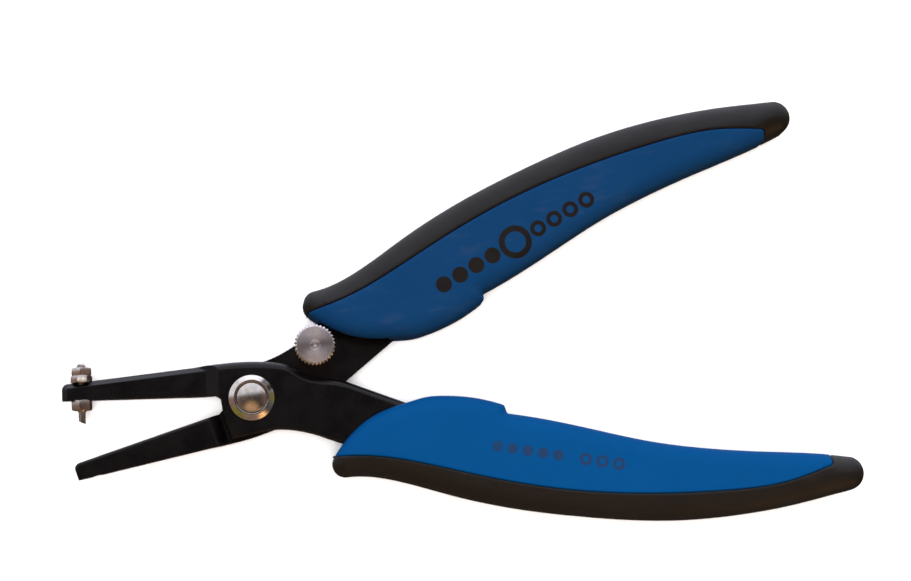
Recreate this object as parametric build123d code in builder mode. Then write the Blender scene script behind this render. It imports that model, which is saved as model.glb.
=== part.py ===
"""Single-punch hole pliers for thin leather and sheet: two mirrored levers on one rivet.

Frame, in millimetres: the origin is on the pivot axis, in the plane that runs through the
middle of both jaws, both grips and the punch. +Z is the pivot axis, +X runs from the pivot
towards the handles along the bisector of the two levers, and the jaws point along -X.
The pliers are drawn open. Each lever is shaped in its own lever frame, where the jaws
would be parallel, and that frame stands HALF_OPEN degrees away from the bisector.
"""

import os
from math import cos, radians, sin, tan

from build123d import *

os.makedirs("parts", exist_ok=True)

# ------------------------------------------------------------------ driving dimensions
HALF_OPEN = 8.8  # each lever's angle from closed, degrees

LEVER_T = 3.0  # thickness of the steel plate of each lever
LAP_GAP = 0.1  # oil gap between the two plates at the joint
JAW_TIP = -40.4  # end of the jaws
JAW_SET = 0.8  # from the bisector to a jaw's inner edge, levers parallel
JAW_DEPTH_TIP = 3.5  # depth of the jaw at its tip
JAW_ROOT = -8.7  # where the jaw meets the joint plate
JAW_DEPTH_ROOT = 6.65  # depth of the jaw there
JOG_LENGTH = 2.6  # length of the bend that brings the jaw to the middle plane
BEND_IN = -7.6  # start of the bend on the plate's inner face
BEND_OUT = -7.0  # start of the bend on its outer face
TIP_RADIUS = 1.3  # rounded outer corner of the tip
TIP_ROUND = 0.6  # rounding across the thickness at the tip
JAW_BEVEL = 1.1  # bevel along the jaw's outer edge, on its face side
SOFT_RADIUS = 1.5  # rounding along the upper edge of plate and shank, face side
EDGE_BREAK = 0.3

PUNCH_X = -36.2  # punch axis, along the jaw
PUNCH_D = 1.5  # cutting diameter
PUNCH_REACH = 3.0  # from the collar to the long side of the cutting edge
PUNCH_SLANT = 25.0  # slant of the cutting edge, degrees
COLLAR_H = 2.1  # hexagonal collar of the punch
COLLAR_TAPER = 0.45  # cone from the collar to the pin
SEAT_DEPTH = 3.7  # from the jaw's inner edge to the spot face under the nuts
SEAT_D = 5.0
M2_D = 2.0
M2_AF = 4.0
M2_NUT_H = 1.6
M2_STUB = 0.85  # thread left standing over the top nut
NUT_GAP = 0.03
DIE_X = -36.3  # die hole axis, along the jaw
DIE_HOLE_D = 2.0
DIE_HOLE_SINK = 0.15

RIVET_D = 5.0
RIVET_RUN = 0.04  # running clearance in radius between the rivet and the punch lever
HEAD_D = 7.2  # rivet head behind the die lever
HEAD_H = 1.05
HEAD_CHAMFER = 0.85
DOME_D = 6.3  # rivet end in front, set in the collar
DOME_H = 0.6
RING_D = 9.8  # collar in front of the punch lever
RING_LIP_D = 7.6
RING_H = 1.2
RING_FLOOR = 0.6  # thickness of the collar under the rivet end
RING_GROOVE = 0.2
RING_GAP = 0.1  # collar to punch lever

STOP_X, STOP_Y = 16.3, -5.9  # stop screw, in the die lever's frame
M4_D = 4.0
M4_AF = 7.0
M4_NUT_H = 3.2
SCREW_RUN = 0.05  # clearance in radius around the stop screw
KNOB_D = 8.8
KNOB_RIM_H = 2.4
KNOB_CONE_H = 2.2
KNOB_LIFT = 0.5  # from the punch lever's face up to the cone
KNOB_TOP_WALL = 1.0
KNOB_CHAMFER = 0.5  # around the knob's face
KNURL_TEETH = 32  # straight V-shaped grooves around the rim
KNURL_DEPTH = 0.36

GRIP_T = 12.6
GRIP_ROUND = 2.5
TANG_END = 100.0  # end of the lever inside the grip
MOUTH_BACK = -3.3  # the grip's mouth reaches from here ...
MOUTH_FRONT = 3.4  # ... to here across the thickness, in the lever's frame

# ------------------------------------------------------------------ derived levels
PLATE_IN = LAP_GAP / 2  # plate face at the joint, above the middle plane
PLATE_OUT = PLATE_IN + LEVER_T
JAW_HALF = LEVER_T / 2
JAW_SLOPE = (JAW_DEPTH_ROOT - JAW_DEPTH_TIP) / (JAW_ROOT - JAW_TIP)
THROUGH = 60.0  # longer than any cut

# Both levers are the same blank. The die lever is turned half a turn about X, so its
# plate lies behind the middle plane and its handle points the other way.
PUNCH_FRAME = Plane(
    origin=(0, 0, 0),
    x_dir=(cos(radians(HALF_OPEN)), -sin(radians(HALF_OPEN)), 0),
    z_dir=(0, 0, 1),
)
DIE_FRAME = Plane(
    origin=(0, 0, 0),
    x_dir=(cos(radians(HALF_OPEN)), sin(radians(HALF_OPEN)), 0),
    z_dir=(0, 0, -1),
)


def side_of(plane):
    """The plane through the same origin and X whose Y is the given plane's normal."""
    return Plane(origin=plane.origin, x_dir=plane.x_dir, z_dir=-plane.y_dir)


def jaw_plane(frame, x, y):
    """A plane at (x, y) of a lever frame, facing the jaw's outer edge."""
    return Plane(
        origin=frame.from_local_coords(Vector(x, y, 0)),
        x_dir=frame.x_dir,
        z_dir=frame.y_dir,
    )


def edges_near(part, frame, points):
    """The edge of a part that passes nearest each point, given in a lever frame."""
    found = ShapeList()
    for point in points:
        place = frame.from_local_coords(Vector(*point))
        found.append(part.edges().sort_by_distance(place)[0])
    return found


# ------------------------------------------------------------------ lever blank
def jaw_outer(x):
    """Height of the jaw's outer edge at x, in the lever frame."""
    return JAW_SET + JAW_DEPTH_TIP + (x - JAW_TIP) * JAW_SLOPE


def lever_outline(frame):
    """Outline of jaw, joint plate, shank and tang."""
    with BuildSketch(frame) as outline:
        with BuildLine():
            inner = Line((JAW_TIP, JAW_SET), (BEND_IN, JAW_SET))
            crotch = Line(inner @ 1, (-6.6, 0.2))
            front = Line(crotch @ 1, (-5.5, -5.4))
            corner = Line(front @ 1, (-4.3, -8.6))
            under = Line(corner @ 1, (4.6, -6.8))
            shank_out = Spline(
                under @ 1,
                (9.2, -7.1),
                (13.4, -8.1),
                (19.3, -10.3),
                tangents=((1, 0.05), (1, -0.36)),
            )
            tang_out = Spline(
                shank_out @ 1,
                (30, -13.0),
                (42, -15.6),
                (62, -19.7),
                (TANG_END - 4, -22.2),
                tangents=((1, -0.3), (1, -0.02)),
            )
            tang_tip = Line(tang_out @ 1, (TANG_END, -20.6))
            tang_back = Line(tang_tip @ 1, (TANG_END - 4, -18.6))
            tang_in = Spline(
                tang_back @ 1,
                (80, -15.6),
                (60, -10.2),
                (45, -5.9),
                (33.4, -2.0),
                tangents=((-1, 0.12), (-1, 0.38)),
            )
            shank_in = Line(tang_in @ 1, (20.6, 3.0))
            notch = Spline(
                shank_in @ 1,
                (17.2, 3.75),
                (14.2, 4.1),
                (11.3, 5.05),
                (8.6, 6.75),
                (5.0, 7.65),
                (0, 7.95),
                (JAW_ROOT, jaw_outer(JAW_ROOT)),
                tangents=((-1, 0.38), (-1, -JAW_SLOPE)),
            )
            outer = Line(notch @ 1, (JAW_TIP, jaw_outer(JAW_TIP)))
            Line(outer @ 1, inner @ 0)
        make_face()
        tip = frame.from_local_coords(Vector(JAW_TIP, jaw_outer(JAW_TIP), 0))
        fillet(outline.vertices().sort_by_distance(tip)[0], TIP_RADIUS)
    return outline.sketch


def lever_side(frame):
    """Side view of the plate: jaw in the middle plane, joint and handle beside it."""
    with BuildSketch(side_of(frame)) as profile:
        with BuildLine():
            Polyline(
                (-THROUGH, -JAW_HALF),
                (BEND_IN - JOG_LENGTH, -JAW_HALF),
                (BEND_IN, PLATE_IN),
                (TANG_END * 2, PLATE_IN),
                (TANG_END * 2, PLATE_OUT),
                (BEND_OUT, PLATE_OUT),
                (BEND_OUT - JOG_LENGTH, JAW_HALF),
                (-THROUGH, JAW_HALF),
                close=True,
            )
        make_face()
    return profile.sketch


def lever_blank(frame):
    """The plate with its bent jaw, the jaw's bevel and the soft upper edge."""
    with BuildPart() as blank:
        extrude(lever_outline(frame), amount=LEVER_T * 2, both=True)
        extrude(lever_side(frame), amount=THROUGH, both=True, mode=Mode.INTERSECT)
        bevel_edge = [(-25, jaw_outer(-25), JAW_HALF)]
        chamfer(edges_near(blank, frame, bevel_edge), JAW_BEVEL)
        upper_edge = [(0, 7.95, PLATE_OUT)]
        fillet(edges_near(blank, frame, upper_edge), SOFT_RADIUS)
        lower_edges = [
            (-6.05, -2.6, PLATE_OUT),
            (-4.9, -7.0, PLATE_OUT),
            (0, -7.75, PLATE_OUT),
            (13.4, -8.1, PLATE_OUT),
        ]
        fillet(edges_near(blank, frame, lower_edges), EDGE_BREAK)
        tip_edges = [
            (JAW_TIP, JAW_SET + 1, JAW_HALF),
            (JAW_TIP, JAW_SET + 1, -JAW_HALF),
        ]
        fillet(edges_near(blank, frame, tip_edges), TIP_ROUND)
    return blank.part


# ------------------------------------------------------------------ levers
SEAT = jaw_plane(PUNCH_FRAME, PUNCH_X, JAW_SET + SEAT_DEPTH)  # spot face under the nuts
DIE_MOUTH = jaw_plane(DIE_FRAME, DIE_X, JAW_SET)
STOP_AXIS = DIE_FRAME.from_local_coords(Vector(STOP_X, STOP_Y, 0))
STOP_PLANE = Plane(origin=STOP_AXIS, x_dir=DIE_FRAME.x_dir, z_dir=(0, 0, 1))
FROM_BASE = (Align.CENTER, Align.CENTER, Align.MIN)

with BuildPart() as punch_lever:
    add(lever_blank(PUNCH_FRAME))
    Cylinder(RIVET_D / 2 + RIVET_RUN, THROUGH, mode=Mode.SUBTRACT)
    with Locations(SEAT.location):
        Cylinder(M2_D / 2, JAW_DEPTH_ROOT * 3, mode=Mode.SUBTRACT)
        Cylinder(SEAT_D / 2, LEVER_T, align=FROM_BASE, mode=Mode.SUBTRACT)
punch_lever.part.label = "punch_lever"
export_step(punch_lever.part, "parts/punch_lever.step")

with BuildPart() as die_lever:
    add(lever_blank(DIE_FRAME))
    Cylinder(RIVET_D / 2, THROUGH, mode=Mode.SUBTRACT)
    with Locations(STOP_PLANE.location):
        Cylinder(M4_D / 2 + SCREW_RUN, THROUGH, mode=Mode.SUBTRACT)
    with Locations(DIE_MOUTH.location):
        Cylinder(DIE_HOLE_D / 2, JAW_DEPTH_ROOT * 3, mode=Mode.SUBTRACT)
        sink_top = DIE_HOLE_D / 2 + DIE_HOLE_SINK
        Cone(sink_top, 0, sink_top, align=FROM_BASE, mode=Mode.SUBTRACT)
die_lever.part.label = "die_lever"
export_step(die_lever.part, "parts/die_lever.step")


# ------------------------------------------------------------------ rivet and its collar
RING_BASE = PLATE_OUT + RING_GAP
RING_SEAT = RING_BASE + RING_FLOOR  # where the rivet end is set
DOME_EDGE = RING_BASE + RING_H - 0.2
DOME_R = ((DOME_D / 2) ** 2 + DOME_H**2) / (2 * DOME_H)  # radius of the sphere it is cut from

with BuildPart() as pivot_rivet:
    with BuildSketch(Plane.XZ):
        with BuildLine():
            head_z = -PLATE_OUT - HEAD_H
            head = Line((0, head_z), (HEAD_D / 2 - HEAD_CHAMFER, head_z))
            bevel = Line(head @ 1, (HEAD_D / 2, head_z + HEAD_CHAMFER))
            head_side = Line(bevel @ 1, (HEAD_D / 2, -PLATE_OUT))
            under_head = Line(head_side @ 1, (RIVET_D / 2, -PLATE_OUT))
            shank = Line(under_head @ 1, (RIVET_D / 2, RING_SEAT))
            set_end = Line(shank @ 1, (DOME_D / 2, RING_SEAT))
            rim = Line(set_end @ 1, (DOME_D / 2, DOME_EDGE))
            dome = RadiusArc(rim @ 1, (0, DOME_EDGE + DOME_H), -DOME_R)
            Line(dome @ 1, head @ 0)
        make_face()
    revolve(axis=Axis.Z)
pivot_rivet.part.label = "pivot_rivet"
export_step(pivot_rivet.part, "parts/pivot_rivet.step")

with BuildPart() as pivot_collar:
    with BuildSketch(Plane.XZ):
        with BuildLine():
            Polyline(
                (RIVET_D / 2, RING_BASE),
                (RING_D / 2, RING_BASE),
                (RING_D / 2, RING_BASE + 0.3),
                (RING_LIP_D / 2, RING_BASE + RING_H),
                (RING_LIP_D / 2 - 0.25, RING_BASE + RING_H),
                (DOME_D / 2 + RING_GROOVE, RING_BASE + RING_H - 0.2),
                (DOME_D / 2 + RING_GROOVE, RING_SEAT),
                (RIVET_D / 2, RING_SEAT),
                close=True,
            )
        make_face()
    revolve(axis=Axis.Z)
pivot_collar.part.label = "pivot_collar"
export_step(pivot_collar.part, "parts/pivot_collar.step")


# ------------------------------------------------------------------ punch and its nuts
def hex_nut(plane, across_flats, height, bore, turn):
    """A chamfered hexagon that stands on a plane, turned about the plane's normal."""
    corner = across_flats / 2 / cos(radians(30))
    cut = across_flats * 0.09
    rise = cut * tan(radians(30))
    with BuildPart() as nut:
        with BuildSketch(side_of(plane)):
            with BuildLine():
                Polyline(
                    (bore / 2, 0),
                    (corner - cut, 0),
                    (corner, rise),
                    (corner, height - rise),
                    (corner - cut, height),
                    (bore / 2, height),
                    close=True,
                )
            make_face()
        revolve(axis=Axis(plane.origin, plane.z_dir))
        with BuildSketch(plane):
            RegularPolygon(across_flats / 2, 6, major_radius=False, rotation=turn)
        extrude(amount=height, mode=Mode.INTERSECT)
    return nut.part


JAW_FACE = jaw_plane(PUNCH_FRAME, PUNCH_X, JAW_SET)  # where the punch leaves the jaw
COLLAR_PLANE = JAW_FACE.offset(-COLLAR_H)
NUT_STACK = SEAT_DEPTH + 2 * M2_NUT_H + 2 * NUT_GAP

with BuildPart() as punch:
    with BuildSketch(side_of(JAW_FACE)):
        with BuildLine():
            thread_top = NUT_STACK + M2_STUB
            Polyline(
                (0, -COLLAR_H - PUNCH_REACH),
                (PUNCH_D / 2, -COLLAR_H - PUNCH_REACH),
                (PUNCH_D / 2, -COLLAR_H - COLLAR_TAPER),
                (PUNCH_D / 2 + 0.35, -COLLAR_H),
                (PUNCH_D / 2 + 0.35, 0),
                (M2_D / 2, 0),
                (M2_D / 2, thread_top - 0.3),
                (M2_D / 2 - 0.3, thread_top),
                (0.35, thread_top),
                (0.35, thread_top - 0.7),
                (0, thread_top - 0.9),
                close=True,
            )
        make_face()
    revolve(axis=Axis(JAW_FACE.origin, JAW_FACE.z_dir))
    add(hex_nut(COLLAR_PLANE, M2_AF, COLLAR_H, 0.4, 20))
    long_side = side_of(JAW_FACE).from_local_coords(
        Vector(PUNCH_D / 2, -COLLAR_H - PUNCH_REACH, 0)
    )
    slant = radians(PUNCH_SLANT)
    cutting_face = Plane(
        origin=long_side,
        x_dir=JAW_FACE.y_dir,
        z_dir=JAW_FACE.x_dir * sin(slant) + JAW_FACE.z_dir * cos(slant),
    )
    split(bisect_by=cutting_face, keep=Keep.TOP)
punch.part.label = "punch"
export_step(punch.part, "parts/punch.step")

for label, lift, turn in (("punch_lock_nut", 0, 4), ("punch_jam_nut", 1, 27)):
    nut_plane = SEAT.offset(NUT_GAP + lift * (M2_NUT_H + NUT_GAP))
    with BuildPart() as m2_nut:
        add(hex_nut(nut_plane, M2_AF, M2_NUT_H, M2_D, turn))
    m2_nut.part.label = label
    export_step(m2_nut.part, f"parts/{label}.step")


# ------------------------------------------------------------------ closing stop
CONE_Z = PLATE_OUT + KNOB_LIFT
RIM_Z = CONE_Z + KNOB_CONE_H
KNOB_TOP = RIM_Z + KNOB_RIM_H
SCREW_END = -PLATE_OUT - M4_NUT_H

with BuildPart() as stop_screw:
    screw_plane = STOP_PLANE.offset(SCREW_END)
    with Locations(screw_plane.location):
        screw_length = KNOB_TOP - KNOB_TOP_WALL - SCREW_RUN - SCREW_END
        Cylinder(M4_D / 2, screw_length, align=FROM_BASE)
    chamfer(stop_screw.edges().sort_by(Axis.Z)[0], 0.4)
stop_screw.part.label = "stop_screw"
export_step(stop_screw.part, "parts/stop_screw.step")

with BuildPart() as stop_knob:
    with BuildSketch(side_of(STOP_PLANE)):
        with BuildLine():
            bore = M4_D / 2 + SCREW_RUN
            Polyline(
                (bore, CONE_Z),
                (bore + 0.2, CONE_Z),
                (KNOB_D / 2 - 0.15, RIM_Z),
                (KNOB_D / 2, RIM_Z + 0.15),
                (KNOB_D / 2, KNOB_TOP - KNOB_CHAMFER * 0.8),
                (KNOB_D / 2 - KNOB_CHAMFER, KNOB_TOP),
                (0.3, KNOB_TOP),
                (0, KNOB_TOP - 0.25),
                (0, KNOB_TOP - KNOB_TOP_WALL),
                (bore, KNOB_TOP - KNOB_TOP_WALL),
                close=True,
            )
        make_face()
    revolve(axis=Axis(STOP_AXIS, (0, 0, 1)))
    with BuildSketch(STOP_PLANE):
        with PolarLocations(KNOB_D / 2, KNURL_TEETH):
            RegularPolygon(KNURL_DEPTH, 4)
    extrude(amount=THROUGH, mode=Mode.SUBTRACT)
stop_knob.part.label = "stop_knob"
export_step(stop_knob.part, "parts/stop_knob.step")

with BuildPart() as stop_lock_nut:
    behind = Plane(origin=(STOP_AXIS.X, STOP_AXIS.Y, -PLATE_OUT), z_dir=(0, 0, -1))
    add(hex_nut(behind, M4_AF, M4_NUT_H, M4_D + 2 * SCREW_RUN, 12))
stop_lock_nut.part.label = "stop_lock_nut"
export_step(stop_lock_nut.part, "parts/stop_lock_nut.step")


# ------------------------------------------------------------------ grips
def grip_outline(frame):
    """Outline of a whole grip: nose, belly, tip and the step in its inner edge."""
    with BuildSketch(frame) as outline:
        with BuildLine():
            nose = ThreePointArc((17.0, -14.6), (17.95, -16.65), (20.3, -17.35))
            mouth = Spline(
                (33.3, -2.0),
                (28, -3.7),
                (24, -5.9),
                (21, -8.5),
                (18.15, -11.9),
                nose @ 0,
                tangents=((-1, -0.25), nose % 0),
            )
            belly = Spline(
                nose @ 1,
                (30, -18.3),
                (42.5, -22.0),
                (56, -25.3),
                (72.8, -27.8),
                (89.5, -29.05),
                (106.3, -28.2),
                (120, -26.0),
                (129, -24.0),
                tangents=(nose % 1, (1, 0.2)),
            )
            tip = ThreePointArc(belly @ 1, (132.0, -20.7), (129.5, -16.8))
            back = Spline(
                tip @ 1,
                (121.8, -15.85),
                (109.6, -15.0),
                (97.5, -13.9),
                (85.4, -12.0),
                (73.5, -9.1),
                (62, -6.35),
                (55.1, -5.1),
                tangents=((-1, 0.15), (-1, 0.15)),
            )
            step = Line(back @ 1, (53.9, -3.1))
            front = Spline(
                step @ 1,
                (47.5, -1.4),
                (41, -0.8),
                (37.2, -1.0),
                tangents=((-1, 0.35), (-1, -0.1)),
            )
            Line(front @ 1, mouth @ 0)
        make_face()
    return outline.sketch


def spine_region(frame):
    """Everything on the outer side of the line where the grip changes material."""
    with BuildSketch(frame) as region:
        with BuildLine():
            parting = Spline(
                (10, -13.2),
                (27.9, -13.8),
                (36.6, -15.5),
                (49.5, -18.7),
                (66.8, -22.0),
                (84.2, -23.4),
                (101.6, -23.3),
                (114.7, -21.8),
                (124.2, -18.65),
                tangents=((1, 0), (1, 0.38)),
            )
            corner = ThreePointArc(parting @ 1, (124.85, -18.1), (124.8, -17.3))
            cap = Line(corner @ 1, (124.3, -14))
            Polyline(cap @ 1, (140, -14), (140, -40), (10, -40), parting @ 0)
        make_face()
    return region.sketch


def mouth_pocket(frame):
    """Hollow in the grip's nose, where the shank goes in."""
    with BuildSketch(frame.offset(MOUTH_BACK)) as pocket:
        with BuildLine():
            Polyline((14, 4), (32, -2.2), (36.8, -4.2), (25, -12.3), (14, -9.6), close=True)
        make_face()
    return pocket.sketch


def whole_grip(frame):
    """The grip with its pocket and the slot that holds the tang."""
    with BuildPart() as grip:
        extrude(grip_outline(frame), amount=GRIP_T / 2, both=True)
        fillet(grip.faces().filter_by(Plane.XY).edges(), GRIP_ROUND)
        extrude(mouth_pocket(frame), amount=MOUTH_FRONT - MOUTH_BACK, mode=Mode.SUBTRACT)
    with BuildPart() as slot:
        extrude(lever_outline(frame), amount=LEVER_T * 2, both=True)
        extrude(lever_side(frame), amount=THROUGH, both=True, mode=Mode.INTERSECT)
    return grip.part - slot.part


for name, frame in (("lower", PUNCH_FRAME), ("upper", DIE_FRAME)):
    grip_solid = whole_grip(frame)
    with BuildPart() as grip_body:
        add(grip_solid)
        extrude(spine_region(frame), amount=GRIP_T, both=True, mode=Mode.SUBTRACT)
    grip_body.part.label = f"{name}_grip_body"
    export_step(grip_body.part, f"parts/{name}_grip_body.step")
    with BuildPart() as grip_spine:
        add(grip_solid)
        extrude(spine_region(frame), amount=GRIP_T, both=True, mode=Mode.INTERSECT)
    grip_spine.part.label = f"{name}_grip_spine"
    export_step(grip_spine.part, f"parts/{name}_grip_spine.step")
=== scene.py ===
from math import cos, pi, radians, sin, tan

import bmesh
import bpy
import numpy as np
from mathutils import Matrix, Vector
from mathutils.geometry import delaunay_2d_cdt


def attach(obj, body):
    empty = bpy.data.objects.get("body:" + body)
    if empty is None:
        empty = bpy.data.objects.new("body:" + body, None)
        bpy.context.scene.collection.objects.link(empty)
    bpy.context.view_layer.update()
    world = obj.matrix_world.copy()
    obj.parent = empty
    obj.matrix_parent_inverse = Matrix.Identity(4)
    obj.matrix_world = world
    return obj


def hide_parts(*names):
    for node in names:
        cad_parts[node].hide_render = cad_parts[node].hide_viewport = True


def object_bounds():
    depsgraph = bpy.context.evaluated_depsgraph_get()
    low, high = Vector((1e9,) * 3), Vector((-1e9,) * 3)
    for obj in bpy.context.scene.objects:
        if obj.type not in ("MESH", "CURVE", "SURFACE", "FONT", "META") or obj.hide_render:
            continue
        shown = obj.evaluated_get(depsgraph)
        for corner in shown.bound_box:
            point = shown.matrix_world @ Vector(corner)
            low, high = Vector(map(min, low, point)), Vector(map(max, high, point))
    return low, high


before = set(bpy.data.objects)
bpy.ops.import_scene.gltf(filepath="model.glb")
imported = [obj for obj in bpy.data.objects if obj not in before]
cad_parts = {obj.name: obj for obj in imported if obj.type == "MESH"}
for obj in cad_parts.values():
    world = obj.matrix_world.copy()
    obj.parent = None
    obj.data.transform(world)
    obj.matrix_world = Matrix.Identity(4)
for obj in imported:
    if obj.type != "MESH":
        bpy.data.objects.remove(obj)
cad_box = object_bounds()

# Shapes are worked out in millimetres and made in metres. A grip is shaped in its lever's
# own frame, where the jaws would be parallel: the pivot is the origin, the jaws point
# along -X, and Z is the pivot axis, towards the face that the lever shows outside.
MM = 0.001
HALF_OPEN = radians(8.8)
SIZE_MARGIN = 0.05  # the mouldings stay this far inside the outline

# ------------------------------------------------------------------ small helpers


def lever_matrix(side):
    """From a lever's own frame to the row frame. side is punch or die."""
    c, s = cos(HALF_OPEN), sin(HALF_OPEN)
    if side == "punch":
        columns = ((c, -s, 0), (s, c, 0), (0, 0, 1))
    else:
        columns = ((c, s, 0), (s, -c, 0), (0, 0, -1))
    return Matrix(columns).transposed().to_4x4()


def unit(v):
    """A vector's direction."""
    v = np.array(v, float)
    return v / np.linalg.norm(v)


def spline(points, start, end, step=0.6):
    """A smooth curve through the points, leaving along start and arriving along end."""
    p = np.array(points, float)
    gap = np.linalg.norm(np.diff(p, axis=0), axis=1)
    n = len(p)
    a = np.zeros((n, n))
    b = np.zeros((n, 2))
    a[0, 0] = a[-1, -1] = 1
    b[0], b[-1] = unit(start), unit(end)
    for i in range(1, n - 1):
        before, after = gap[i - 1], gap[i]
        a[i, i - 1 : i + 2] = after, 2 * (before + after), before
        b[i] = 3 * (after * (p[i] - p[i - 1]) / before + before * (p[i + 1] - p[i]) / after)
    slope = np.linalg.solve(a, b)
    curve = []
    for i in range(n - 1):
        count = max(2, round(gap[i] / step))
        for t in np.arange(count) / count:
            near = (1 + 2 * t) * (1 - t) ** 2 * p[i] + t * t * (3 - 2 * t) * p[i + 1]
            turn = t * (1 - t) ** 2 * slope[i] - t * t * (1 - t) * slope[i + 1]
            curve.append(near + gap[i] * turn)
    curve.append(p[-1])
    return np.array(curve)


def arc(start, via, end, step=0.3):
    """A circle's arc through three points."""
    (ax, ay), (bx, by), (cx, cy) = start, via, end
    d = 2 * (ax * (by - cy) + bx * (cy - ay) + cx * (ay - by))
    a2, b2, c2 = ax * ax + ay * ay, bx * bx + by * by, cx * cx + cy * cy
    centre_x = (a2 * (by - cy) + b2 * (cy - ay) + c2 * (ay - by)) / d
    centre_y = (a2 * (cx - bx) + b2 * (ax - cx) + c2 * (bx - ax)) / d
    centre = np.array([centre_x, centre_y])
    first, middle, last = (
        np.arctan2(*(np.array(q) - centre)[::-1]) for q in (start, via, end)
    )
    turn = (last - first) % (2 * pi)
    if (middle - first) % (2 * pi) > turn:
        turn -= 2 * pi
    radius = np.linalg.norm(np.array(start) - centre)
    count = max(4, round(abs(turn) * radius / step))
    angles = first + turn * np.arange(count + 1) / count
    return centre + radius * np.stack([np.cos(angles), np.sin(angles)], 1)


def along(points, places):
    """Points at the given lengths along a polyline."""
    at = np.concatenate([[0], np.cumsum(np.linalg.norm(np.diff(points, axis=0), axis=1))])
    return np.stack([np.interp(places, at, points[:, k]) for k in (0, 1)], 1)


def length(points):
    """How long a polyline is."""
    return np.linalg.norm(np.diff(points, axis=0), axis=1).sum()


def distance(points, line):
    """Shortest distance from each point to a polyline."""
    a, b = line[:-1], line[1:]
    ab = b - a
    t = np.einsum("pij,ij->pi", points[:, None] - a, ab) / (ab**2).sum(1)
    foot = a + np.clip(t, 0, 1)[..., None] * ab
    return np.sqrt(((points[:, None] - foot) ** 2).sum(2)).min(1)


def inside(points, loop):
    """Which points lie inside a closed loop."""
    a, b = loop, np.roll(loop, -1, axis=0)
    x, y = points[:, :1], points[:, 1:]
    crosses = (a[:, 1] > y) != (b[:, 1] > y)
    rise = np.where(b[:, 1] == a[:, 1], 1, b[:, 1] - a[:, 1])
    at = a[:, 0] + (y - a[:, 1]) * (b[:, 0] - a[:, 0]) / rise
    return (crosses & (x < at)).sum(1) % 2 == 1


def normals_in(line):
    """Unit vectors to the left of an open polyline, one a point."""
    tangent = np.gradient(line, axis=0)
    tangent /= np.linalg.norm(tangent, axis=1)[:, None]
    return np.stack([-tangent[:, 1], tangent[:, 0]], 1)


def smoothstep(x):
    """A soft step from 0 to 1 as x goes from 0 to 1."""
    x = np.clip(x, 0, 1)
    return x * x * (3 - 2 * x)


def new_object(name, verts, faces, matrix=None):
    """An object from points in millimetres, in a frame of its own if one is given."""
    mesh = bpy.data.meshes.new(name)
    mesh.from_pydata([tuple(v) for v in verts], [], [tuple(int(i) for i in f) for f in faces])
    mesh.transform(Matrix.Scale(MM, 4))
    mesh.update()
    obj = bpy.data.objects.new(name, mesh)
    obj.matrix_world = matrix or Matrix.Identity(4)
    bpy.context.scene.collection.objects.link(obj)
    return obj


def settle(obj):
    """Writes an object's own frame into its mesh, so that it stands in the row frame."""
    obj.data.transform(obj.matrix_world)
    obj.matrix_world = Matrix.Identity(4)


def apply_modifiers(obj):
    """Writes what an object's modifiers make into its mesh."""
    graph = bpy.context.evaluated_depsgraph_get()
    mesh = bpy.data.meshes.new_from_object(obj.evaluated_get(graph))
    obj.modifiers.clear()
    obj.data = mesh


def combine(obj, tool, operation):
    """A boolean, DIFFERENCE or UNION, with a tool object, which is removed afterwards."""
    modifier = obj.modifiers.new("combine", "BOOLEAN")
    modifier.operation = operation
    modifier.solver = "EXACT"
    modifier.object = tool
    apply_modifiers(obj)
    bpy.data.objects.remove(tool)


def round_edges(obj, width):
    """Rounds each edge of more than 25 degrees. The width is in millimetres."""
    modifier = obj.modifiers.new("edges", "BEVEL")
    modifier.width = width * MM
    modifier.segments = 2
    modifier.limit_method = "ANGLE"
    modifier.angle_limit = radians(25)
    modifier.use_clamp_overlap = True
    apply_modifiers(obj)


def smooth(obj, angle):
    """Smooth shading, with a crease at each edge sharper than the angle."""
    obj.data.shade_smooth()
    obj.data.set_sharp_from_angle(angle=radians(angle))


def prism(name, loop, low, high, matrix=None):
    """A straight-sided solid between two heights."""
    n = len(loop)
    verts = [(*p, low) for p in loop] + [(*p, high) for p in loop]
    faces = [tuple(reversed(range(n))), tuple(range(n, 2 * n))]
    faces += [(i, (i + 1) % n, n + (i + 1) % n, n + i) for i in range(n)]
    return new_object(name, verts, faces, matrix)


def softened(corners, steps=4):
    """An outline from (radius, height, rounding) corners."""
    outline = []
    for i, (r, z, rounding) in enumerate(corners):
        here = np.array((r, z))
        if rounding == 0:
            outline.append(here)
            continue
        to_last = unit(np.array(corners[i - 1][:2]) - here)
        to_next = unit(np.array(corners[(i + 1) % len(corners)][:2]) - here)
        half = np.arccos(np.clip(to_last @ to_next, -1, 1)) / 2
        centre = here + unit(to_last + to_next) * rounding / sin(half)
        first = here + to_last * rounding / tan(half) - centre
        last = here + to_next * rounding / tan(half) - centre
        a = np.arctan2(first[1], first[0])
        turn = (np.arctan2(last[1], last[0]) - a + pi) % (2 * pi) - pi
        for t in np.arange(steps + 1) / steps:
            outline.append(centre + rounding * np.array((cos(a + turn * t), sin(a + turn * t))))
    return [tuple(p) for p in outline]


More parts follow.
